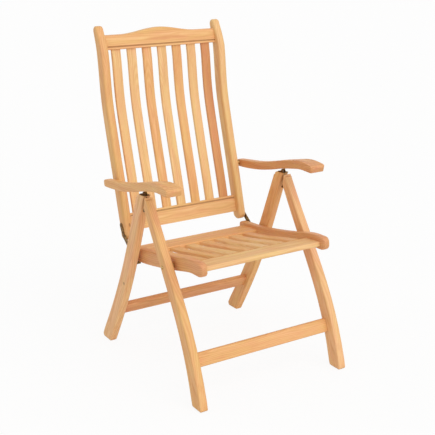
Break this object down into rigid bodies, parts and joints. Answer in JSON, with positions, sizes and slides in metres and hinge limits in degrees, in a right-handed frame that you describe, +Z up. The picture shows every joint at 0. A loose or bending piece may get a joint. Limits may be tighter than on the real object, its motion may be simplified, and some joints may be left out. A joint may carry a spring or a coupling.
{
  "type": "reclining folding armchair",
  "caption": "Folding garden armchair in teak: hinged curved legs, slatted seat, high slatted back that reclines in steps on notched arms, and brass fittings.",
  "frame": {"origin": "on the floor, at the middle of the chair's bounding box", "axes": "+Z up, -Y the way the sitter faces, +X to the right of someone who faces the chair"},
  "size_m": [0.59, 0.7414, 1.0927],
  "materials": {
    "teak": "sanded, oiled",
    "reddish_teak": "sanded, oiled",
    "brass": "satin"
  },
  "bodies": {
    "front_legs": {"front_leg_left": "teak", "front_leg_right": "teak", "front_stretcher": "teak", "seat_bolts": "brass", "seat_spacers": "brass", "hinge_leaf_front_left": "brass", "hinge_leaf_front_right": "brass", "leg_hinge_pins": "brass", "front_leaf_screws": "brass"},
    "rear_legs": {"rear_leg_left": "teak", "rear_leg_right": "teak", "rear_stretcher": "teak", "hinge_leaf_rear_left": "brass", "hinge_leaf_rear_right": "brass", "rear_leaf_screws": "brass", "catch_bracket_left": "brass", "catch_bracket_right": "brass", "catch_pins": "brass", "catch_screws": "brass", "seat_rest_pegs": "brass"},
    "seat": {"seat_rail_left": "teak", "seat_rail_right": "teak", "seat_front_rail": "teak", "seat_rear_rail": "teak", "seat_slat_1": "teak", "seat_slat_2": "teak", "seat_slat_3": "teak", "seat_slat_4": "teak", "seat_slat_5": "teak", "seat_slat_6": "teak", "seat_slat_7": "teak"},
    "back_pins": {"back_pins": "brass"},
    "back": {"back_stile_left": "teak", "back_stile_right": "teak", "crest_rail": "teak", "back_bottom_rail": "teak", "back_slat_1": "teak", "back_slat_2": "teak", "back_slat_3": "teak", "back_slat_4": "teak", "back_slat_5": "teak", "back_slat_6": "teak", "back_slat_7": "reddish_teak", "back_strap_left": "brass", "back_strap_right": "brass", "strap_screws": "brass"},
    "arm_bolt_left": {"arm_bolt_left": "brass"},
    "arm_bolt_right": {"arm_bolt_right": "brass"},
    "arm_left": {"arm_left": "teak", "arm_rack_left": "brass"},
    "arm_right": {"arm_right": "teak", "arm_rack_right": "brass"}
  },
  "joints": [
    {"name": "leg_fold", "type": "hinge", "parent": "front_legs", "child": "rear_legs", "pos_m": [0, -0.035, 0.555], "axis": [-1, 0, 0], "range_deg": [0, 50]},
    {"name": "seat_fold", "type": "hinge", "parent": "front_legs", "child": "seat", "pos_m": [0, -0.15199, 0.40328], "axis": [1, 0, 0], "range_deg": [0, 62]},
    {"name": "back_fold", "type": "hinge", "parent": "seat", "child": "back_pins", "pos_m": [0, 0.138, 0.372], "axis": [1, 0, 0], "range_deg": [0, 92]},
    {"name": "recline", "type": "hinge", "parent": "back_pins", "child": "back", "pos_m": [0, 0.138, 0.372], "axis": [-1, 0, 0], "range_deg": [0, 36]},
    {"name": "arm_fold_left", "type": "hinge", "parent": "back", "child": "arm_bolt_left", "pos_m": [-0.267, 0.23156, 0.586], "axis": [-1, 0, 0], "range_deg": [0, 88]},
    {"name": "arm_fold_right", "type": "hinge", "parent": "back", "child": "arm_bolt_right", "pos_m": [0.267, 0.23156, 0.586], "axis": [-1, 0, 0], "range_deg": [0, 88]},
    {"name": "arm_recline_left", "type": "hinge", "parent": "arm_bolt_left", "child": "arm_left", "pos_m": [-0.267, 0.23156, 0.586], "axis": [1, 0, 0], "range_deg": [0, 25.2]},
    {"name": "arm_recline_right", "type": "hinge", "parent": "arm_bolt_right", "child": "arm_right", "pos_m": [0.267, 0.23156, 0.586], "axis": [1, 0, 0], "range_deg": [0, 25.2]}
  ],
  "couplings": [
    {"joint": "seat_fold", "follows": "leg_fold", "ratio": 1.24},
    {"joint": "back_fold", "follows": "leg_fold", "ratio": 1.84},
    {"joint": "arm_fold_left", "follows": "leg_fold", "ratio": 1.76},
    {"joint": "arm_fold_right", "follows": "leg_fold", "ratio": 1.76},
    {"joint": "arm_recline_left", "follows": "recline", "ratio": 0.7},
    {"joint": "arm_recline_right", "follows": "recline", "ratio": 0.7}
  ]
}
